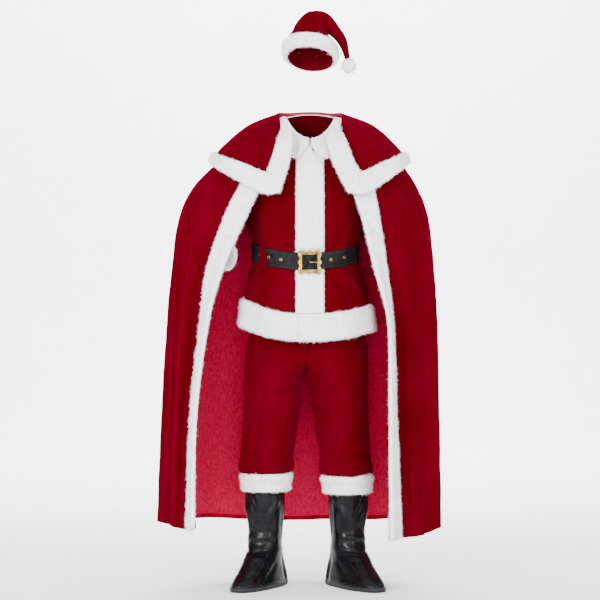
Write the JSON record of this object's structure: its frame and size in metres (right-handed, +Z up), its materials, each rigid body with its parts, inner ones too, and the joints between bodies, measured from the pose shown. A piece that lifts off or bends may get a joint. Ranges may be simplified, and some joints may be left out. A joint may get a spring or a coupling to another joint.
{
  "type": "santa suit",
  "caption": "Adult santa suit as worn: red velour hat, belted jacket, trousers and full cape with shoulder cape, trimmed in white fur, with black boot covers.",
  "frame": {"origin": "middle of the wearer's neck at collar height, where the suit is held up", "axes": "+X to the viewer's right, +Y away from the viewer, towards the wearer's back, +Z up"},
  "size_m": [0.9188, 0.4673, 1.8627],
  "materials": {
    "red_velour": "short-pile velour, matte with a crimson sheen",
    "white_fur": "short dense faux fur, matte",
    "black_belt": "semi-matte grained belt with gold eyelets",
    "black_vinyl": "glossy thin vinyl",
    "gold_buckle": "polished cast metal"
  },
  "bodies": {
    "root": {"hat_crown": "red_velour", "hat_brim": "white_fur", "hat_pompom": "white_fur", "jacket_front_left": "red_velour", "jacket_front_right": "red_velour", "jacket_back": "red_velour", "jacket_centre_band": "white_fur", "jacket_hem_band": "white_fur", "collar_left": "white_fur", "collar_right": "white_fur", "sleeve_left": "red_velour", "sleeve_right": "red_velour", "sleeve_cuff_left": "white_fur", "sleeve_cuff_right": "white_fur", "belt_loop_left": "red_velour", "belt_loop_right": "red_velour", "belt_strap": "black_belt", "belt_buckle": "gold_buckle", "belt_prong": "gold_buckle", "trouser_waistband": "red_velour", "trouser_leg_left": "red_velour", "trouser_leg_right": "red_velour", "trouser_cuff_left": "white_fur", "trouser_cuff_right": "white_fur", "cape_body": "red_velour", "cape_band_left": "white_fur", "cape_band_right": "white_fur", "capelet": "red_velour", "capelet_hem_band": "white_fur", "capelet_band_left": "white_fur", "capelet_band_right": "white_fur", "boot_left": "black_vinyl", "boot_right": "black_vinyl"}
  },
  "joints": []
}
